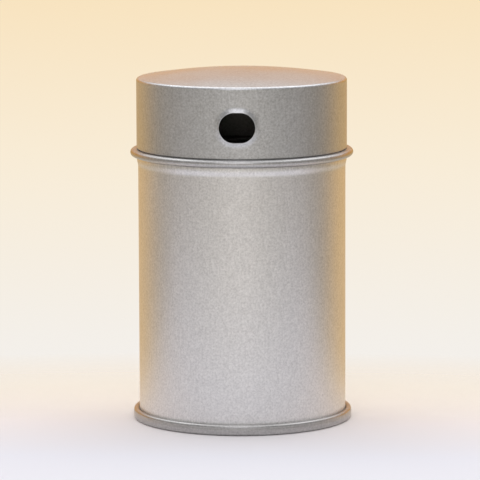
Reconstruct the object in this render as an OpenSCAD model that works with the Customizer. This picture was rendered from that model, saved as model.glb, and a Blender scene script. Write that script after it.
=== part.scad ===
// Round tinplate spice tin with a slip lid that turns to open and close a side pour hole.
// The origin is on the tin's axis, on the surface that it stands on. +Z is up and the
// pour hole faces -Y. Every sheet part is a centreline of arcs, given the sheet's thickness
// and turned about the axis. Millimetres.

/* [Body] */
// Outside diameter of the straight body
body_d = 49.3; // [44:0.1:70]
// Height from the base to the top edge of the body
body_h = 62.95; // [40:0.05:120]
// Thickness of the tinplate
sheet_t = 0.25; // [0.2:0.01:0.28]

/* [Bottom seam] */
// How far the seam stands out from the body
seam_out = 1.43; // [1.3:0.01:1.8]
// Height of the seam
seam_h = 2.6; // [2.3:0.05:3.2]
// Height of the recessed bottom panel above the base
panel_lift = 2.75; // [2.5:0.05:4]

/* [Stop bead] */
// How far the stop bead reaches out from the body
bead_out = 1.85; // [1.5:0.05:2.2]
// Height of the stop bead
bead_h = 1.7; // [1.5:0.05:1.8]

/* [Lid] */
// Height of the lid's upright wall, from its edge to the top of its corner
lid_h = 16.7; // [15:0.05:24]
// Rise of the domed top above the corner
dome_rise = 2.05; // [1:0.05:3]
// Gap between the lid and the neck all round
lid_gap = 0.1; // [0.06:0.01:0.14]
// Gap between the lid's lower edge and the stop bead
edge_gap = 0.19; // [0.05:0.01:0.3]
// Thickness of the liner disc inside the lid
liner_t = 0.9; // [0.5:0.05:1]

/* [Pour hole] */
// Height of the hole
hole_h = 7; // [5:0.1:7.5]
// How much wider than high the hole is
hole_stretch = 1.4; // [0:0.1:2]
// Height of the hole's centre above the lid's lower edge
hole_up = 7.25; // [6.5:0.05:7.5]
// How far the raised lip stands out from the lid
lip_out = 0.4; // [0.1:0.05:0.6]
// Width of the raised lip
lip_w = 0.9; // [0.5:0.05:1.5]

/* [Hidden] */
$fn = 96;

// Gap between two layers of sheet that are pressed together
layer_gap = 0.03;
half_t = sheet_t / 2;
layer = sheet_t + layer_gap;
// Degrees of bend between two points of an arc
bend_step = 15;
dome_steps = 16;
// How far a cutting shape passes the faces that it cuts
overcut = 1;

// Sheet centreline radii
body_r = body_d / 2 - half_t;
mouth_r = body_r + layer;
lid_r = body_r + sheet_t + lid_gap;

// Flare of the body's mouth: two arcs that turn out and back, below a short straight edge
flare_h = 1.9;
mouth_edge_h = 0.55;
flare_z = body_h - mouth_edge_h - flare_h;
flare_angle = 2 * atan(layer / flare_h);
flare_r = flare_h / 2 / sin(flare_angle);

// Stop bead of the neck, just above the body's edge, and the skirt below it
mouth_gap = 0.15;
bead_r = bead_h / 2 - half_t;
bead_x = body_d / 2 + bead_out - bead_h / 2;
bead_z = body_h + mouth_gap + bead_h / 2;
bead_root_r = 0.25;
skirt_h = 3;
skirt_z = flare_z - skirt_h;

// Curled rim of the neck, just below the liner, which has some room under the lid's top
lid_z = bead_z + bead_h / 2 + edge_gap;
liner_room = 0.35;
liner_gap = 0.1;
rim_z = lid_z + lid_h - sheet_t - liner_t - liner_room - liner_gap;
rim_r = 0.45;
rim_curl = 250;

// Bottom seam: chuck wall, body wall, cover hook, body hook and seaming wall, from the inside out
chuck_r = body_r - layer;
cover_hook_r = body_r + layer;
seaming_r = body_d / 2 + seam_out - half_t;
seam_fold_r = (seaming_r - cover_hook_r) / 2;
seam_fold_z = seam_h - half_t - seam_fold_r;
body_hook_r = (seaming_r + cover_hook_r) / 2;
body_fold_r = (body_hook_r - body_r) / 2;
body_fold_z = sheet_t + layer_gap + half_t + body_fold_r;
seam_corner_r = 0.45;
hook_gap = 0.15;
cover_hook_z = body_fold_z + hook_gap;
body_hook_end_gap = 0.05;
body_hook_z = seam_fold_z - body_hook_end_gap;
seal_h = 0.55;
panel_z = panel_lift + half_t;
panel_corner_r = 0.6;
// Expansion ring in the bottom panel
ring_share = 0.62;
ring_x = ring_share * body_r;
ring_r = 1.5;
ring_angle = 35;
ring_run = ring_r * sin(ring_angle);

// Lock seam down the back of the body
lock_w = 3.2;
lock_t = 2 * sheet_t;
lock_lift = 1;
lock_z = panel_lift + lock_lift;
lock_skirt_gap = 0.5;
// Fold line that the lock seam leaves on the outside
lock_line_w = 0.25;
lock_line_depth = 0.12;
lock_line_y = sqrt(pow(body_d / 2, 2) - pow(lock_w / 2, 2)) - lock_line_depth;
lock_line_end_gap = 0.3;

// Lid corner, the shallow groove inside it, and the dome
corner_r = 0.55;
corner_x = lid_r - corner_r;
corner_z = lid_z + lid_h - half_t - corner_r;
corner_turn = 100;
groove_r = 0.5;
dome_slope = 2 * atan(dome_rise / corner_x);
groove_c = [corner_x, corner_z] + (corner_r + groove_r) * dir(corner_turn);
groove_end = 270 - dome_slope;
dome_start = groove_c + groove_r * dir(groove_end);
dome_r = dome_start.x / sin(dome_slope);
dome_c = [0, dome_start.y - dome_r * cos(dome_slope)];

// Liner disc
liner_side_gap = 0.5;
liner_r = lid_r - half_t - liner_side_gap;
liner_z = rim_z + liner_gap;

// Pour hole with its lip, and the larger hole in the neck behind it
hole_z = lid_z + hole_up;
lip_edge_gap = 0.5;
neck_hole_margin = 0.4;

tinplate = "silver";
board = "tan";
rubber = "dimgray";

function dir(a) = [cos(a), sin(a)];
function steps(a) = max(1, ceil(abs(a) / bend_step));

// A bend is [centre, centreline radius, first angle, last angle, number of steps].
function bend(c, r, a0, a1, n = 0) = [c, r, a0, a1, n > 0 ? n : steps(a1 - a0)];
// A cut edge of the sheet at point p, where the sheet runs in the direction given.
function cut_edge(p, heading) = [p, 0, heading + 90, heading + 90, 0];

// Points along one side of the sheet: side 1 is on the right of its run and -1 on the left.
function sheet_side(run, side) = [
    for (b = run, k = [0 : b[4]])
        let (
            turn = b[3] > b[2] ? 1 : -1,
            a = b[4] == 0 ? b[2] : b[2] + (b[3] - b[2]) * k / b[4]
        )
        b[0] + (b[1] + turn * side * half_t) * dir(a)
];
function backwards(list) = [for (k = [len(list) - 1 : -1 : 0]) list[k]];

// Two arcs that carry an upright sheet out from radius r by one layer, over the flare's height
function flare(r) = [
    bend([r + flare_r, flare_z], flare_r, 180, 180 - flare_angle),
    bend([r + layer - flare_r, flare_z + flare_h], flare_r, -flare_angle, 0)
];

body_run = concat(
    [
        cut_edge([body_hook_r, body_hook_z], -90),
        bend([body_r + body_fold_r, body_fold_z], body_fold_r, 0, -180)
    ],
    flare(body_r),
    [cut_edge([mouth_r, body_h], 90)]
);

neck_run = concat(
    [cut_edge([chuck_r, skirt_z], 90)],
    flare(chuck_r),
    [
        bend([body_r + bead_root_r, bead_z - bead_r - bead_root_r], bead_root_r, 180, 90),
        bend([bead_x, bead_z], bead_r, -90, 90),
        bend([body_r + bead_root_r, bead_z + bead_r + bead_root_r], bead_root_r, 270, 180),
        bend([body_r - rim_r, rim_z - half_t - rim_r], rim_r, 0, rim_curl)
    ]
);

bottom_run = [
    cut_edge([0, panel_z], 0),
    bend([ring_x, panel_z + ring_r], ring_r, 270, 270 + ring_angle),
    bend([ring_x + 2 * ring_run, panel_z + ring_r - 2 * ring_r * cos(ring_angle)],
        ring_r, 90 + ring_angle, 90 - ring_angle),
    bend([ring_x + 4 * ring_run, panel_z + ring_r], ring_r, 270 - ring_angle, 270),
    bend([chuck_r - panel_corner_r, panel_z - panel_corner_r], panel_corner_r, 90, 0),
    bend([chuck_r + seam_corner_r, half_t + seam_corner_r], seam_corner_r, 180, 270),
    bend([seaming_r - seam_corner_r, half_t + seam_corner_r], seam_corner_r, 270, 360),
    bend([seaming_r - seam_fold_r, seam_fold_z], seam_fold_r, 0, 180),
    cut_edge([cover_hook_r, cover_hook_z], -90)
];

lid_run = [
    cut_edge([lid_r, lid_z], 90),
    bend([corner_x, corner_z], corner_r, 0, corner_turn),
    bend(groove_c, groove_r, 180 + corner_turn, groove_end),
    bend(dome_c, dome_r, 90 - dome_slope, 90, dome_steps)
];

module turned_sheet(run) {
    rotate_extrude()
        polygon(concat(sheet_side(run, 1), backwards(sheet_side(run, -1))));
}

module ring(outer, inner, z0, z1) {
    difference() {
        translate([0, 0, z0])
            cylinder(r = outer, h = z1 - z0);
        translate([0, 0, z0 - overcut])
            cylinder(r = inner, h = z1 - z0 + 2 * overcut);
    }
}

// A bar with the hole's round-ended outline, margin wider all round, from the axis out to -Y
module hole_bar(margin) {
    end_r = hole_h / 2 + margin;
    translate([0, 0, hole_z])
        rotate([90, 0, 0])
            linear_extrude(body_d)
                union() {
                    translate([-hole_stretch / 2, -end_r])
                        square([hole_stretch, 2 * end_r]);
                    for (side = [-1, 1])
                        translate([side * hole_stretch / 2, 0])
                            circle(end_r);
                }
}

// Rolled tube: hook in the bottom seam, lock seam at the back, mouth flared over the neck
module body_shell() {
    inner_r = body_r - half_t;
    color(tinplate)
        difference() {
            union() {
                turned_sheet(body_run);
                intersection() {
                    ring(body_r, inner_r - lock_t, lock_z, skirt_z - lock_skirt_gap);
                    translate([-lock_w / 2, 0, 0])
                        cube([lock_w, body_d, body_h]);
                }
            }
            translate([lock_w / 2, lock_line_y, seam_h + lock_line_end_gap])
                cube([lock_line_w, sheet_t, flare_z - seam_h - 2 * lock_line_end_gap]);
        }
}

// Neck that the lid turns on: skirt inside the body, stop bead, pour hole and curled rim
module neck_ring() {
    color(tinplate)
        difference() {
            turned_sheet(neck_run);
            hole_bar(neck_hole_margin);
        }
}

// Recessed end, seamed round the body's hook
module bottom_end() {
    color(tinplate)
        turned_sheet(bottom_run);
}

// Band of sealing compound between the two hooks of the seam
module bottom_seal() {
    color(rubber)
        ring(body_hook_r - half_t - layer_gap, cover_hook_r + half_t + layer_gap,
            cover_hook_z, cover_hook_z + seal_h);
}

// Drawn slip lid with a domed top and a lip raised round its pour hole
module lid_cap() {
    wall_r = lid_r + half_t;
    color(tinplate)
        difference() {
            union() {
                turned_sheet(lid_run);
                intersection() {
                    ring(wall_r + lip_out, lid_r, lid_z + lip_edge_gap, corner_z);
                    hole_bar(lip_w);
                }
            }
            hole_bar(0);
        }
}

// Disc inside the lid that rests on the neck's rim
module lid_liner() {
    color(board)
        translate([0, 0, liner_z])
            cylinder(r = liner_r, h = liner_t);
}

body_shell();
neck_ring();
bottom_end();
bottom_seal();
lid_cap();
lid_liner();
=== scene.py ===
import math

import bmesh
import bpy
from mathutils import Matrix, Vector


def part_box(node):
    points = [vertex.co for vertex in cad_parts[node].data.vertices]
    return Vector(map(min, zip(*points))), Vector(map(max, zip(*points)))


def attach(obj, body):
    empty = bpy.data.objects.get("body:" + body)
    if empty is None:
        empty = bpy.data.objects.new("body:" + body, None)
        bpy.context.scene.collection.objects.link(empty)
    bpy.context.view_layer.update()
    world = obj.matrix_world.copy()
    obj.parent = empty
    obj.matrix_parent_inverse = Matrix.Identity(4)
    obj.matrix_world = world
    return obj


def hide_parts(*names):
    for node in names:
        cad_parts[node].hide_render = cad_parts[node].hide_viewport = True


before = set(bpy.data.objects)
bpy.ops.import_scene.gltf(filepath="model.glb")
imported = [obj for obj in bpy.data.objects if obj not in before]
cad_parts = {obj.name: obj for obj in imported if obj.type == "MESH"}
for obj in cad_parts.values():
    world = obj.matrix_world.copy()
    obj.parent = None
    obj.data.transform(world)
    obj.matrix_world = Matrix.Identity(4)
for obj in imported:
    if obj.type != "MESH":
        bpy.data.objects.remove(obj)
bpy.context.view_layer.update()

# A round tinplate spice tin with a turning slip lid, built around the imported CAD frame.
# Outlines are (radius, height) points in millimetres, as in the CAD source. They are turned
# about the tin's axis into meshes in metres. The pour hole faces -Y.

MM = 0.001


def box_mm(node):
    low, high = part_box(node)
    return low / MM, high / MM


lid_low, lid_high = box_mm("lid_cap")
neck_low, neck_high = box_mm("neck_ring")
body_low, body_high = box_mm("body_shell")
_, end_high = box_mm("bottom_end")
liner_low, liner_high = box_mm("lid_liner")

# Sheet and clearances. LAYER is the step between two sheets that are pressed together.
SHEET = 0.25
HALF = SHEET / 2
LAYER_GAP = 0.03
LAYER = SHEET + LAYER_GAP
LID_GAP = 0.1

# Centreline radii
LID_R = lid_high.x - HALF
NECK_R = LID_R - SHEET - LID_GAP
BODY_R = NECK_R
SKIRT_R = NECK_R - LAYER
MOUTH_R = BODY_R + LAYER

# Flare at the body's mouth
FLARE_H = 1.9
MOUTH_EDGE_H = 0.55
FLARE_Z = body_high.z - MOUTH_EDGE_H - FLARE_H
FLARE_ANGLE = 2 * math.degrees(math.atan(LAYER / FLARE_H))
FLARE_R = FLARE_H / 2 / math.sin(math.radians(FLARE_ANGLE))

# Stop bead and curled rim of the neck
BEAD_H = 1.7
MOUTH_GAP = 0.15
BEAD_R = BEAD_H / 2 - HALF
BEAD_X = neck_high.x - BEAD_H / 2
BEAD_Z = body_high.z + MOUTH_GAP + BEAD_H / 2
BEAD_ROOT = 0.25
RIM_R = 0.45
RIM_CURL = 250

# Lid corner, groove and dome
LID_WALL_H = 16.7
CORNER_R = 0.55
CORNER_X = LID_R - CORNER_R
CORNER_Z = lid_low.z + LID_WALL_H - HALF - CORNER_R
CORNER_TURN = 100
GROOVE_R = 0.5
DOME_STEPS = 22

# Bottom seam and panel
SEAM_R = end_high.x - HALF
SEAM_H = 2.6
SEAM_CORNER = 0.45
SEAM_BULGE = 0.06
SEAM_WALL_STEPS = 12
COVER_HOOK_R = BODY_R + LAYER
SEAM_FOLD = (SEAM_R - COVER_HOOK_R) / 2
SEAM_FOLD_Z = SEAM_H - HALF - SEAM_FOLD
BODY_HOOK_R = (SEAM_R + COVER_HOOK_R) / 2
BODY_FOLD = (BODY_HOOK_R - BODY_R) / 2
BODY_FOLD_Z = body_low.z + HALF + BODY_FOLD
HOOK_GAP = 0.15
COVER_HOOK_Z = BODY_FOLD_Z + HOOK_GAP
HOOK_END_GAP = 0.05
BODY_HOOK_Z = SEAM_FOLD_Z - HOOK_END_GAP
PANEL_LIFT = 2.75
PANEL_Z = PANEL_LIFT + HALF
PANEL_CORNER = 0.6
PANEL_POINTS = (0, 4, 8, 12)
RING_SHARE = 0.62
RING_X = RING_SHARE * BODY_R
RING_R = 1.5
RING_ANGLE = 35

# Pour hole: a round-ended outline, stretched each way, and the sheet pushed out round it
HOLE_R = 3.5
HOLE_STRETCH = 0.7
HOLE_UP = 7.25
HOLE_Z = lid_low.z + HOLE_UP
NECK_HOLE_MARGIN = 0.4
LIP_W = 1.5
LIP_OUT = -lid_low.y - lid_high.x
LIP_CURVE = 2.0
LIP_STEPS = 9
BLEND_STEPS = 3

# Window in the wall's faces round the pour hole: how far it reaches up, down and to each side
WINDOW_H = 6.0
WINDOW_ROWS = 20
WINDOW_ANGLE = 15
WINDOW_COLUMNS = 15

# Lock seam down the back of the body: a flat band inside and a fold line outside
LOCK_W = 3.2
LOCK_T = 2 * SHEET
LOCK_BOTTOM = 3.75
LOCK_SKIRT_GAP = 0.5
LOCK_TOP = neck_low.z - LOCK_SKIRT_GAP
LOCK_EDGE = 0.12
LINE_AT = LOCK_W / 2 + LOCK_EDGE
LINE_HALF = 0.15
LINE_DEPTH = 0.11
LINE_STEPS = 4
LINE_BOTTOM = SEAM_H + 0.1
LINE_TOP = FLARE_Z - 0.2
FADE = 0.4
LOCK_COLUMN = 0.8
LOCK_MARGIN = 1.2
LINE_MARGIN = 1.2 * LINE_HALF

# Liner: rounded edge, and a faint dent over the neck's rim
LINER_EDGE = 0.2
LINER_DENT = 0.06
DENT_FLAT = 0.2
DENT_REACH = 0.7
DENT_STEP = 0.15
DENT_STEPS = 6
LINER_POINTS = (4, 9, 14, 18, 22)

# Columns of faces round the axis
COLUMNS = 240
FRONT = -90
BACK = 90

# Slack for finding the rows at a height
ROW_SLACK = 1e-3


# ---- Outlines -------------------------------------------------------------------------------

def polar(degrees, radius=1.0):
    a = math.radians(degrees)
    return Vector((radius * math.cos(a), radius * math.sin(a)))


def arc(centre, radius, start, end, step=7.5):
    """Points along an arc, from one angle to the other in degrees."""
    n = max(2, math.ceil(abs(end - start) / step))
    return [Vector(centre) + polar(start + (end - start) * k / n, radius) for k in range(n + 1)]


def between(start, end, n):
    """The points that cut a straight stretch into n parts, without its two ends."""
    a, b = Vector(start), Vector(end)
    return [a.lerp(b, k / n) for k in range(1, n)]


def ease(x, low, high):
    """0 below low, 1 above high, and smooth between."""
    t = max(0.0, min(1.0, (x - low) / (high - low)))
    return t * t * (3 - 2 * t)


def flare(radius):
    """An upright sheet carried out by one layer, over the flare's height."""
    out = arc((radius + FLARE_R, FLARE_Z), FLARE_R, 180, 180 - FLARE_ANGLE, step=4)
    back = arc((radius + LAYER - FLARE_R, FLARE_Z + FLARE_H), FLARE_R, -FLARE_ANGLE, 0, step=4)
    return out + back[1:]


class Sheet:
    """A sheet's outline from its centreline: right side, far edge, left side and near edge."""

    CAP_STEPS = 6

    def __init__(self, path):
        path = [Vector(p) for p in path]
        runs = [(b - a).normalized() for a, b in zip(path, path[1:])]
        turns = [runs[0]] + [(a + b).normalized() for a, b in zip(runs, runs[1:])] + [runs[-1]]
        side = [self.on_right(p, d) for p, d in zip(path, turns)]
        far = self.cut_edge(path[-1], side[-1], runs[-1])
        near = self.cut_edge(path[0], -side[0], -runs[0])
        right = [p + HALF * n for p, n in zip(path, side)]
        left = [p - HALF * n for p, n in zip(path, side)]
        self.path = path
        self.left_start = len(path) + len(far)
        self.outline = right + far + left[::-1] + near

    @staticmethod
    def on_axis(point):
        return point.x < 1e-6

    def on_right(self, point, run):
        """The direction to the right of the run, which is up or down on the axis."""
        if self.on_axis(point):
            return Vector((0, -1 if run.x > 0 else 1))
        return Vector((run.y, -run.x))

    def cut_edge(self, point, side, run):
        """The rounded edge at one end of the sheet, and none on the axis."""
        if self.on_axis(point):
            return []
        turns = [math.pi * k / self.CAP_STEPS for k in range(1, self.CAP_STEPS)]
        return [point + HALF * (math.cos(a) * side + math.sin(a) * run) for a in turns]

    def left_row(self, row):
        """The left side's row at the point of the path that row is on the right."""
        return self.left_start + len(self.path) - 1 - row

    def rows_from(self, low, high):
        """The first and last rows of the path's points between two heights."""
        rows = [k for k, p in enumerate(self.path) if low - ROW_SLACK <= p.y <= high + ROW_SLACK]
        return rows[0], rows[-1]


# ---- Turned meshes --------------------------------------------------------------------------

def even_angles():
    return [FRONT + 360 * k / COLUMNS for k in range(COLUMNS)]


class Turned:
    """An outline turned about the axis, as rows of vertices, with faces added by skin().

    push(row, point, angle) gives how far a vertex moves out from the axis.
    """

    def __init__(self, name, outline, angles=None, push=None):
        self.name = name
        self.angles = angles or even_angles()
        self.bm = bmesh.new()
        self.rows = [self.row(k, p, push) for k, p in enumerate(outline)]

    def row(self, k, point, push):
        if Sheet.on_axis(point):
            return [self.bm.verts.new((0, 0, point.y * MM))] * len(self.angles)
        radii = [point.x + (push(k, point, a) if push else 0) for a in self.angles]
        return [self.vertex(r, a, point.y) for r, a in zip(radii, self.angles)]

    def vertex(self, radius, angle, z):
        x, y = polar(angle, radius)
        return self.bm.verts.new((x * MM, y * MM, z * MM))

    def skin(self, leave_out=()):
        """Faces between neighbouring rows, apart from those named as (row, column)."""
        n, m = len(self.rows), len(self.angles)
        for i in range(n):
            low, high = self.rows[i], self.rows[(i + 1) % n]
            if low[0] is low[1] and high[0] is high[1]:
                continue
            for j in range(m):
                if (i, j) not in leave_out:
                    self.face(low[j], low[(j + 1) % m], high[(j + 1) % m], high[j])

    def join_rings(self, rings):
        """Faces between neighbouring rings of the same number of vertices."""
        for a, b in zip(rings, rings[1:]):
            for k in range(len(a)):
                n = (k + 1) % len(a)
                self.face(a[k], a[n], b[n], b[k])

    def face(self, *verts):
        """A face by its corners, with one that is named twice, on the axis, taken once."""
        self.bm.faces.new(list(dict.fromkeys(verts)))

    def make(self, material):
        bmesh.ops.recalc_face_normals(self.bm, faces=self.bm.faces)
        mesh = bpy.data.meshes.new(self.name)
        self.bm.to_mesh(mesh)
        self.bm.free()
        mesh.polygons.foreach_set("use_smooth", [True] * len(mesh.polygons))
        mesh.materials.append(material)
        piece = bpy.data.objects.new(self.name, mesh)
        bpy.context.scene.collection.objects.link(piece)
        weighted = piece.modifiers.new("face_weighted_normals", "WEIGHTED_NORMAL")
        weighted.weight = 100
        return piece


# ---- The pour hole --------------------------------------------------------------------------

def window_angles():
    """Angles from the front all round, with finer ones across the pour hole's window."""
    coarse = [360 * k / COLUMNS for k in range(COLUMNS)]
    coarse = [a for a in coarse if WINDOW_ANGLE < a < 360 - WINDOW_ANGLE]
    fine = [WINDOW_ANGLE * k / WINDOW_COLUMNS for k in range(WINDOW_COLUMNS + 1)]
    return [FRONT + a for a in fine + coarse] + [FRONT + 360 - a for a in fine[:0:-1]]


def window_points(radius):
    """The wall's points beside the pour hole, evenly spaced up the hole's window."""
    low, high = (radius, HOLE_Z - WINDOW_H), (radius, HOLE_Z + WINDOW_H)
    return [Vector(low)] + between(low, high, WINDOW_ROWS) + [Vector(high)]


def window_border(first, last, columns):
    """The rows and columns once round the window's border."""
    border = [(first, c) for c in columns[:-1]]
    border += [(r, columns[-1]) for r in range(first, last)]
    border += [(last, c) for c in columns[:0:-1]]
    return border + [(r, columns[0]) for r in range(last, first, -1)]


def lip_section(lip_w, lip_out):
    """The sheet's surface beside the hole, from outside round the edge to inside.

    Each point is its distance from the hole's edge, how far the sheet is raised there, and
    its place in the sheet's thickness.
    """
    def raised(d):
        return lip_out * max(0.0, (lip_w - d) / lip_w) ** LIP_CURVE

    band = [lip_w + (HALF - lip_w) * k / LIP_STEPS for k in range(LIP_STEPS + 1)]
    turns = [math.pi * k / 6 for k in (2, 1, 0, -1, -2)]
    edge = [(HALF * (1 - math.cos(a)), HALF * math.sin(a)) for a in turns]
    across = [(d, HALF) for d in band] + edge + [(d, -HALF) for d in band[::-1]]
    return [(d, raised(d), h) for d, h in across]


def hole_point(turned, border, radius, reach, share):
    """A vertex between one on the window's border and the hole.

    It is share of the way in to the point that lies reach from the hole's core.
    """
    out = Vector((border.co.x / MM, border.co.z / MM - HOLE_Z))
    core = Vector((max(-HOLE_STRETCH, min(HOLE_STRETCH, out.x)), 0))
    arm = out - core
    p = core + arm.normalized() * (arm.length + (reach - arm.length) * share)
    depth = math.sqrt(radius**2 - p.x**2)
    return turned.bm.verts.new((p.x * MM, -depth * MM, (p.y + HOLE_Z) * MM))


def pour_hole(turned, sheet, radius, hole_r, lip_w, lip_out):
    """Skins a turned sheet, with the hole opened at its front through rings of faces."""
    first, last = sheet.rows_from(HOLE_Z - WINDOW_H, HOLE_Z + WINDOW_H)
    columns = [c % len(turned.angles) for c in range(-WINDOW_COLUMNS, WINDOW_COLUMNS + 1)]
    left = sheet.left_row
    gone = {(r, c) for r in range(first, last) for c in columns[:-1]}
    gone |= {(left(r) - 1, c) for r in range(first, last) for c in columns[:-1]}
    turned.skin(leave_out=gone)

    border = window_border(first, last, columns)
    outer = [turned.rows[r][c] for r, c in border]
    inner = [turned.rows[left(r)][c] for r, c in border]
    blend = [k / BLEND_STEPS for k in range(1, BLEND_STEPS)]
    rings = [outer]
    for share in blend:
        rings.append([hole_point(turned, v, radius + HALF, hole_r + lip_w, share) for v in outer])
    for d, raised, h in lip_section(lip_w, lip_out):
        rings.append([hole_point(turned, v, radius + raised + h, hole_r + d, 1) for v in outer])
    for share in blend[::-1]:
        rings.append([hole_point(turned, v, radius - HALF, hole_r + lip_w, share) for v in inner])
    turned.join_rings(rings + [inner])


# ---- The pieces -----------------------------------------------------------------------------

def lid_piece(material):
    """Drawn lid: cut edge, upright wall, tight corner, shallow groove and dome."""
    turn = polar(CORNER_TURN)
    groove = Vector((CORNER_X, CORNER_Z)) + (CORNER_R + GROOVE_R) * turn
    top = lid_high.z - HALF
    # The dome is the arc that leaves the groove level with its slope and peaks on the axis
    slope = 2 * math.degrees(math.atan((top - groove.y + GROOVE_R) / CORNER_X))
    start = groove + polar(270 - slope, GROOVE_R)
    slope = 2 * math.degrees(math.atan((top - start.y) / start.x))
    dome_r = start.x / math.sin(math.radians(slope))
    path = [Vector((LID_R, lid_low.z + HALF))] + window_points(LID_R)
    path += arc((CORNER_X, CORNER_Z), CORNER_R, 0, CORNER_TURN)
    path += arc(groove, GROOVE_R, 180 + CORNER_TURN, 270 - slope, step=3)[1:]
    path += arc((0, top - dome_r), dome_r, 90 - slope, 90, step=slope / DOME_STEPS)[1:]
    path[-1].x = 0
    sheet = Sheet(path)
    turned = Turned("lid", sheet.outline, window_angles())
    pour_hole(turned, sheet, LID_R, HOLE_R, LIP_W, LIP_OUT)
    return turned.make(material)


def neck_piece(material):
    """Neck: skirt in the body, stop bead, upright wall with its hole, and curled rim."""
    rim_z = neck_high.z - HALF - RIM_R
    below, above = BEAD_Z - BEAD_R - BEAD_ROOT, BEAD_Z + BEAD_R + BEAD_ROOT
    path = [Vector((SKIRT_R, neck_low.z + HALF))] + flare(SKIRT_R)
    path += arc((NECK_R + BEAD_ROOT, below), BEAD_ROOT, 180, 90, step=15)
    path += arc((BEAD_X, BEAD_Z), BEAD_R, -90, 90)
    path += arc((NECK_R + BEAD_ROOT, above), BEAD_ROOT, 270, 180, step=15)
    path += window_points(NECK_R)
    path += arc((NECK_R - RIM_R, rim_z), RIM_R, 0, RIM_CURL, step=12)
    sheet = Sheet(path)
    turned = Turned("neck", sheet.outline, window_angles())
    pour_hole(turned, sheet, NECK_R, HOLE_R + NECK_HOLE_MARGIN, NECK_HOLE_MARGIN, 0)
    return turned.make(material)


def lock_angles():
    """Even angles all round, with the lock seam's own columns at the back."""
    half = LOCK_W / 2
    across = [0, LOCK_COLUMN, half - LOCK_EDGE, half, half + LOCK_EDGE, half + LOCK_COLUMN]
    across = {s * x for x in across for s in (-1, 1)}
    line = [LINE_AT + LINE_HALF * k / LINE_STEPS for k in range(-LINE_STEPS, LINE_STEPS + 1)]
    across = [x for x in across if abs(x - LINE_AT) > LINE_MARGIN] + line
    margin = math.degrees((half + LOCK_MARGIN) / BODY_R)
    even = [a for a in even_angles() if abs(a - BACK) > margin]
    return sorted(even + [BACK - math.degrees(x / BODY_R) for x in across])


def along(z, bottom, top):
    """1 between two heights and 0 beyond them, with a fade inside each end."""
    return ease(z, bottom, bottom + FADE) * (1 - ease(z, top - FADE, top))


def fold_line(x, z):
    """The lock seam's fold line, pressed into the outside of the wall."""
    line = math.cos(math.pi / 2 * min(1, abs(x - LINE_AT) / LINE_HALF)) ** 2
    return -LINE_DEPTH * line * along(z, LINE_BOTTOM, LINE_TOP)


def inner_band(x, z):
    """The lock seam's flat band, standing in from the inside of the wall."""
    band = 1 - ease(abs(x), LOCK_W / 2 - LOCK_EDGE, LOCK_W / 2 + LOCK_EDGE)
    return -LOCK_T * band * along(z, LOCK_BOTTOM, LOCK_TOP)


def body_piece(material):
    """Rolled body: hook in the bottom seam, lock seam at the back and flared mouth."""
    path = arc((BODY_R + BODY_FOLD, BODY_FOLD_Z), BODY_FOLD, 0, -180, step=15)
    path.insert(0, Vector((BODY_HOOK_R, BODY_HOOK_Z - HALF)))
    wall = [LINE_BOTTOM, LINE_BOTTOM + FADE, LOCK_BOTTOM, LOCK_BOTTOM + FADE]
    wall += [LOCK_TOP - FADE, LOCK_TOP, LINE_TOP - FADE, LINE_TOP]
    path += [Vector((BODY_R, z)) for z in wall]
    path += flare(BODY_R) + [Vector((MOUTH_R, body_high.z - HALF))]
    sheet = Sheet(path)

    def push(row, point, angle):
        x = math.radians(BACK - angle) * BODY_R
        return fold_line(x, point.y) if row < sheet.left_start else inner_band(x, point.y)

    turned = Turned("body", sheet.outline, lock_angles(), push)
    turned.skin()
    return turned.make(material)


def bottom_piece(material):
    """Recessed end: panel with an expansion ring, chuck wall, seaming wall and cover hook."""
    wall_r = SEAM_R - SEAM_BULGE
    fold = (wall_r - COVER_HOOK_R) / 2
    run = RING_R * math.sin(math.radians(RING_ANGLE))
    crest = PANEL_Z + RING_R - 2 * RING_R * math.cos(math.radians(RING_ANGLE))
    corner_z = HALF + SEAM_CORNER
    path = [Vector((r, PANEL_Z)) for r in PANEL_POINTS]
    path += arc((RING_X, PANEL_Z + RING_R), RING_R, 270, 270 + RING_ANGLE)
    path += arc((RING_X + 2 * run, crest), RING_R, 90 + RING_ANGLE, 90 - RING_ANGLE)[1:]
    path += arc((RING_X + 4 * run, PANEL_Z + RING_R), RING_R, 270 - RING_ANGLE, 270)[1:]
    path += arc((SKIRT_R - PANEL_CORNER, PANEL_Z - PANEL_CORNER), PANEL_CORNER, 90, 0, step=10)
    path += arc((SKIRT_R + SEAM_CORNER, corner_z), SEAM_CORNER, 180, 270, step=10)
    path += arc((wall_r - SEAM_CORNER, corner_z), SEAM_CORNER, 270, 360, step=10)
    wall = between((wall_r, corner_z), (wall_r, SEAM_FOLD_Z), SEAM_WALL_STEPS)
    for k, p in enumerate(wall, 1):
        bulge = SEAM_BULGE * math.sin(math.pi * k / SEAM_WALL_STEPS) ** 2
        path.append(p + Vector((bulge, 0)))
    path += arc((wall_r - fold, SEAM_FOLD_Z), fold, 0, 180)
    path.append(Vector((COVER_HOOK_R, COVER_HOOK_Z + HALF)))
    turned = Turned("bottom", Sheet(path).outline)
    turned.skin()
    return turned.make(material)


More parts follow.
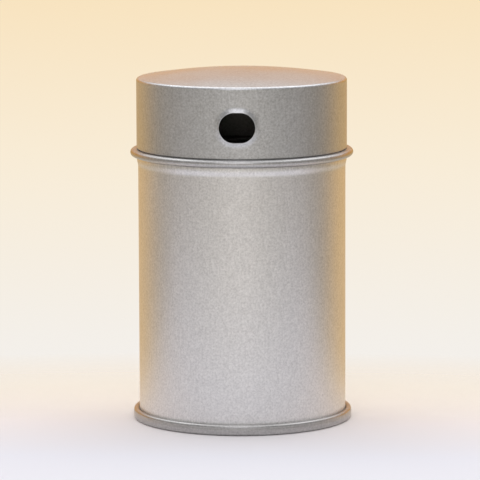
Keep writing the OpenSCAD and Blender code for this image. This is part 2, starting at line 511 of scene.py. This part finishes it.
def liner_piece(material):
    """Board disc with rounded edges and a faint dent where it sits on the neck's rim."""
    low, high, r = liner_low.z, liner_high.z, liner_high.x
    rim_x = NECK_R - RIM_R

    def under(x, from_rim):
        return Vector((x, low + LINER_DENT * (1 - ease(abs(from_rim), DENT_FLAT, DENT_REACH))))

    points = [under(x, x - rim_x) for x in LINER_POINTS]
    points += [under(rim_x + DENT_STEP * k, DENT_STEP * k) for k in range(-DENT_STEPS, 1)]
    outline = [Vector((0, low))] + [p for p in points if p.x < r - LINER_EDGE]
    outline += arc((r - LINER_EDGE, low + LINER_EDGE), LINER_EDGE, 270, 360, step=15)
    outline += arc((r - LINER_EDGE, high - LINER_EDGE), LINER_EDGE, 0, 90, step=15)
    outline += [Vector((x, high)) for x in LINER_POINTS[::-1]] + [Vector((0, high))]
    turned = Turned("liner", outline)
    turned.skin()
    return turned.make(material)


# ---- Materials ------------------------------------------------------------------------------

class Nodes:
    """Short calls for building a node tree."""

    def __init__(self, tree):
        self.tree = tree

    def add(self, kind, **values):
        node = self.tree.nodes.new(kind)
        for key, value in values.items():
            setattr(node, key, value)
        return node

    def link(self, output, socket):
        self.tree.links.new(output, socket)

    def split(self, vector):
        """The X, Y and Z of a vector."""
        node = self.add("ShaderNodeSeparateXYZ")
        self.link(vector, node.inputs[0])
        return node.outputs

    def spread(self, value, low, high, out_low, out_high):
        ranged = self.add("ShaderNodeMapRange")
        numbers = {"From Min": low, "From Max": high, "To Min": out_low, "To Max": out_high}
        for key, number in numbers.items():
            ranged.inputs[key].default_value = number
        self.link(value, ranged.inputs["Value"])
        return ranged.outputs["Result"]

    def math(self, operation, a, b):
        node = self.add("ShaderNodeMath", operation=operation)
        for socket, value in zip(node.inputs, (a, b)):
            if isinstance(value, (int, float)):
                socket.default_value = value
            else:
                self.link(value, socket)
        return node.outputs[0]

    def ramp(self, value, *stops):
        """Colours by position from 0 to 1."""
        ramp = self.add("ShaderNodeValToRGB")
        elements = ramp.color_ramp.elements
        while len(elements) < len(stops):
            elements.new(0.5)
        for element, (position, colour) in zip(elements, stops):
            element.position = position
            element.color = (*colour, 1)
        self.link(value, ramp.inputs["Fac"])
        return ramp.outputs["Color"]

    def ramp_over(self, value, low, high, stops):
        """Colours by a value from low to high."""
        share = self.spread(value, low, high, 0, 1)
        return self.ramp(share, *[((v - low) / (high - low), colour) for v, colour in stops])

    def mix(self, share, a, b):
        node = self.add("ShaderNodeMixRGB")
        self.link(share, node.inputs["Fac"])
        self.link(a, node.inputs["Color1"])
        self.link(b, node.inputs["Color2"])
        return node.outputs["Color"]

    def multiply(self, a, b):
        node = self.add("ShaderNodeMixRGB", blend_type="MULTIPLY")
        node.inputs["Fac"].default_value = 1.0
        self.link(a, node.inputs["Color1"])
        self.link(b, node.inputs["Color2"])
        return node.outputs["Color"]


class Material(Nodes):
    """A material's nodes, in the piece's own coordinates."""

    def __init__(self, name):
        self.material = bpy.data.materials.new(name)
        self.material.use_nodes = True
        super().__init__(self.material.node_tree)
        self.shader = self.tree.nodes["Principled BSDF"]
        self.place = self.add("ShaderNodeTexCoord").outputs["Object"]

    def set(self, key, value):
        self.shader.inputs[key].default_value = value

    def drive(self, key, output):
        self.link(output, self.shader.inputs[key])

    def noise(self, scale, stretch=(1, 1, 1), detail=2.0, roughness=0.5):
        """Noise in metres of the piece; stretch squeezes it along an axis."""
        mapping = self.add("ShaderNodeMapping")
        mapping.inputs["Scale"].default_value = stretch
        self.link(self.place, mapping.inputs["Vector"])
        noise = self.add("ShaderNodeTexNoise")
        noise.inputs["Scale"].default_value = scale
        noise.inputs["Detail"].default_value = detail
        noise.inputs["Roughness"].default_value = roughness
        self.link(mapping.outputs["Vector"], noise.inputs["Vector"])
        return noise.outputs["Fac"]

    def bump(self, height, distance, strength):
        bump = self.add("ShaderNodeBump")
        bump.inputs["Strength"].default_value = strength
        bump.inputs["Distance"].default_value = distance
        self.link(height, bump.inputs["Height"])
        self.drive("Normal", bump.outputs["Normal"])


# Most of a noise's values lie in this range
NOISE = (0.3, 0.7)


def grey(value, warmth=0.0):
    return (value * (1 + warmth), value, value * (1 - warmth))


def tinplate(name, shade, contrast, warmth=0.01):
    """Satin tinned steel: a fine stipple, faint upright rolling grain and faint smudges."""
    m = Material(name)
    m.set("Metallic", 1.0)
    stipple = m.noise(2100, detail=2, roughness=0.7)
    grain = m.noise(2600, stretch=(1, 1, 0.12), detail=2, roughness=0.5)
    smudge = m.noise(70, detail=3)
    texture = m.math("ADD", m.math("MULTIPLY", stipple, 0.8), m.math("MULTIPLY", grain, 0.2))
    colour = m.ramp(
        texture,
        (0.32, grey(shade * (1 - contrast), warmth)),
        (0.50, grey(shade, warmth)),
        (0.68, grey(shade * (1 + contrast), warmth)),
    )
    m.drive("Base Color", colour)
    fine = m.spread(texture, *NOISE, -0.04, 0.04)
    broad = m.spread(smudge, *NOISE, 0.34, 0.39)
    m.drive("Roughness", m.math("ADD", fine, broad))
    m.bump(texture, distance=0.00002, strength=0.9)
    return m.material


def board(name):
    """Waxed pulpboard: pressed fibres and small dark specks."""
    m = Material(name)
    fibres = m.noise(900, stretch=(1, 0.35, 1), detail=5, roughness=0.65)
    specks = m.noise(1700, detail=1)
    colour = m.ramp(
        fibres,
        (0.30, (0.40, 0.27, 0.14)),
        (0.55, (0.55, 0.40, 0.23)),
        (0.75, (0.64, 0.49, 0.31)),
    )
    m.drive("Base Color", m.multiply(colour, m.spread(specks, 0.66, 0.72, 1.0, 0.6)))
    m.drive("Roughness", m.spread(fibres, *NOISE, 0.62, 0.8))
    m.bump(fibres, distance=0.00008, strength=0.6)
    return m.material


def compound(name):
    """Matt sealing compound with a fine pebbled skin."""
    m = Material(name)
    pebble = m.noise(4000, detail=2)
    m.drive("Base Color", m.ramp(pebble, (0.35, grey(0.025)), (0.65, grey(0.05))))
    m.drive("Roughness", m.spread(pebble, *NOISE, 0.65, 0.85))
    m.bump(pebble, distance=0.00003, strength=0.5)
    return m.material


# ---- Camera and lights ----------------------------------------------------------------------

# Distances in metres and angles in degrees
CAMERA_DISTANCE = 0.909
CAMERA_RISE = 8.06
CAMERA_TURN = 2.53
CAMERA_ROLL = -0.19
FIELD_OF_VIEW = 7.21
AIM = Vector((-0.00049, 0, 0.04261))


def camera():
    data = bpy.data.cameras.new("camera")
    data.lens = data.sensor_width / 2 / math.tan(math.radians(FIELD_OF_VIEW / 2))
    data.clip_start = 0.05
    data.clip_end = 20
    eye = bpy.data.objects.new("camera", data)
    turn, rise = math.radians(CAMERA_TURN), math.radians(CAMERA_RISE)
    level = math.cos(rise)
    back = Vector((math.sin(turn) * level, -math.cos(turn) * level, math.sin(rise)))
    eye.location = AIM + back * CAMERA_DISTANCE
    roll = Matrix.Rotation(math.radians(CAMERA_ROLL), 3, "Z")
    facing = (-back).to_track_quat("-Z", "Y").to_matrix() @ roll
    eye.rotation_euler = facing.to_euler()
    bpy.context.scene.collection.objects.link(eye)
    bpy.context.scene.camera = eye


def area_light(name, at, aim, size, power, colour):
    data = bpy.data.lights.new(name, "AREA")
    data.shape = "RECTANGLE"
    data.size, data.size_y = size
    data.energy = power
    data.color = colour
    lamp = bpy.data.objects.new(name, data)
    lamp.location = at
    lamp.rotation_euler = (Vector(aim) - Vector(at)).to_track_quat("-Z", "Y").to_euler()
    lamp.visible_camera = False
    bpy.context.scene.collection.objects.link(lamp)


# ---- Floor and surroundings -----------------------------------------------------------------

# The floor is solid up to FLOOR_CLEAR from its centre and gone by FLOOR_END. FLOOR_ACROSS
# carries it further out at the sides.
FLOOR_RADIUS = 0.6
FLOOR_CENTRE = (0, -0.20, 0)
FLOOR_CLEAR = 0.20
FLOOR_END = 0.29
FLOOR_ACROSS = 0.82
# From FLOOR_BRIGHT to FLOOR_DIM out from the tin's centre plane, it dims to FLOOR_SIDE: painted shade
# on the floor, which the tin's sides reflect as darker edges.
FLOOR_BRIGHT = 0.055
FLOOR_DIM = 0.16
FLOOR_SIDE = 0.80
# Colour by Y, from in front of the tin to behind it
FLOOR_TINT = (
    (-0.20, (0.80, 0.785, 0.74)),
    (-0.12, (0.79, 0.80, 0.84)),
    (-0.05, (0.79, 0.80, 0.86)),
    (-0.01, (0.85, 0.80, 0.79)),
    (0.04, (0.85, 0.75, 0.60)),
    (0.12, (0.80, 0.58, 0.30)),
)

# Surroundings by the direction looked in, whose X, Y and Z run from -1 to 1.
# By height: what the tin reflects from behind it, and what the camera sees
BEHIND = (
    (-0.45, (0.78, 0.70, 0.60)),
    (-0.25, (0.78, 0.60, 0.38)),
    (-0.10, (0.81, 0.53, 0.22)),
    (0.05, (0.85, 0.46, 0.11)),
    (0.16, (1.0, 0.42, 0.02)),
    (0.26, (1.0, 0.40, 0.02)),
    (0.38, (0.64, 0.45, 0.32)),
    (0.47, (0.50, 0.47, 0.46)),
    (0.9, (0.40, 0.40, 0.42)),
)
SEEN = (
    (-0.5, (0.82, 0.81, 0.82)),
    (-0.17, (0.90, 0.87, 0.83)),
    (-0.12, (0.94, 0.84, 0.68)),
    (-0.07, (0.94, 0.76, 0.50)),
    (0.3, (0.92, 0.70, 0.42)),
)
# By Y: in front of the tin and at its sides, low down and higher up
FRONT_LOW = (
    (-1.0, (0.57, 0.52, 0.45)),
    (-0.8, (0.50, 0.457, 0.395)),
    (-0.5, (0.49, 0.44, 0.385)),
    (0.0, (0.43, 0.38, 0.32)),
)
FRONT_HIGH = ((-1.0, grey(0.28)), (0.5, grey(0.44)))
# By X: the low part is a little dimmer on the right
RIGHT_DIM = ((0.3, grey(1)), (0.8, grey(0.85)))
# Shares of the mixes: by Z from low to high, and by Y from the front to behind
TO_HIGH = ((0.0, grey(0)), (0.3, grey(1)))
TO_BEHIND = ((0.15, grey(0)), (0.75, grey(1)))


def floor():
    """A pale floor that fades out into the backdrop, sooner behind the tin than beside it."""
    bm = bmesh.new()
    bmesh.ops.create_circle(bm, cap_ends=True, radius=FLOOR_RADIUS, segments=96)
    mesh = bpy.data.meshes.new("floor")
    bm.to_mesh(mesh)
    bm.free()
    disc = bpy.data.objects.new("floor", mesh)
    disc.location = FLOOR_CENTRE
    bpy.context.scene.collection.objects.link(disc)
    m = Material("floor")
    where = m.split(m.place)
    tint = [(y - FLOOR_CENTRE[1], colour) for y, colour in FLOOR_TINT]
    colour = m.ramp_over(where["Y"], tint[0][0], tint[-1][0], tint)
    # Painted shade: the floor darkens away from the tin's centre plane, so the tin's edges reflect it
    # darker.
    from_middle = m.math("ABSOLUTE", where["X"], 0)
    painted_side_shade = m.spread(from_middle, FLOOR_BRIGHT, FLOOR_DIM, 1, FLOOR_SIDE)
    m.drive("Base Color", m.multiply(colour, painted_side_shade))
    m.set("Roughness", 0.9)
    m.set("Specular IOR Level", 0.1)
    squeezed = m.add("ShaderNodeMapping")
    squeezed.inputs["Scale"].default_value = (FLOOR_ACROSS, 1, 1)
    m.link(m.place, squeezed.inputs["Vector"])
    length = m.add("ShaderNodeVectorMath", operation="LENGTH")
    m.link(squeezed.outputs["Vector"], length.inputs[0])
    m.drive("Alpha", m.spread(length.outputs["Value"], FLOOR_CLEAR, FLOOR_END, 1, 0))
    mesh.materials.append(m.material)


def surroundings():
    """Soft surroundings: warm paper behind the tin, and dimmer and greyer round the rest.

    The camera sees a paler backdrop in their place.
    """
    world = bpy.data.worlds.new("studio")
    world.use_nodes = True
    bpy.context.scene.world = world
    w = Nodes(world.node_tree)
    direction = w.split(w.add("ShaderNodeTexCoord").outputs["Generated"])

    def by(axis, stops):
        return w.ramp_over(direction[axis], -1, 1, stops)

    low = w.multiply(by("Y", FRONT_LOW), by("X", RIGHT_DIM))
    front = w.mix(by("Z", TO_HIGH), low, by("Y", FRONT_HIGH))
    around = w.mix(by("Y", TO_BEHIND), front, by("Z", BEHIND))
    camera_ray = w.add("ShaderNodeLightPath").outputs["Is Camera Ray"]
    colour = w.mix(camera_ray, around, by("Z", SEEN))
    w.link(colour, world.node_tree.nodes["Background"].inputs["Color"])


# ---- Building -------------------------------------------------------------------------------

def stand_in(piece, body, node):
    """The piece rides on a body in the place of a CAD node."""
    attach(piece, body)
    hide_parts(node)


# The four pieces share one tinplate in different shades. The lid, neck and bottom are set darker than
# the body, and the lid a little cooler, as painted shade that dims their reflections and highlights.
lid = lid_piece(tinplate("lid_tinplate", 0.565, 0.20, -0.015))
stand_in(lid, "lid", "lid_cap")
neck = neck_piece(tinplate("neck_tinplate", 0.48, 0.17))
stand_in(neck, "tin", "neck_ring")
body = body_piece(tinplate("body_tinplate", 0.73, 0.17))
stand_in(body, "tin", "body_shell")
bottom = bottom_piece(tinplate("bottom_tinplate", 0.46, 0.17))
stand_in(bottom, "tin", "bottom_end")
liner = liner_piece(board("liner_board"))
stand_in(liner, "liner", "lid_liner")

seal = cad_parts["bottom_seal"]
seal.data.materials.clear()
seal.data.materials.append(compound("seam_compound"))

camera()
floor()
surroundings()
OVERHEAD = (1.0, 0.995, 1.01)
STRIP = (1.0, 0.985, 1.01)
SOFTBOX = (1.0, 0.98, 1.03)
area_light(
    "overhead", at=(0, 0.17, 0.80), aim=(0, 0, 0.04), size=(2.0, 1.4), power=8.4, colour=OVERHEAD
)
area_light(
    "strip", at=(0, 0.22, 0.78), aim=(0, 0, 0.04), size=(1.3, 0.2), power=1.2, colour=STRIP
)
area_light(
    "softbox", at=(-0.02, -0.54, 0.43), aim=(0, 0, 0.07), size=(0.34, 0.5), power=0.75, colour=SOFTBOX
)
bpy.context.scene.view_settings.view_transform = "Standard"
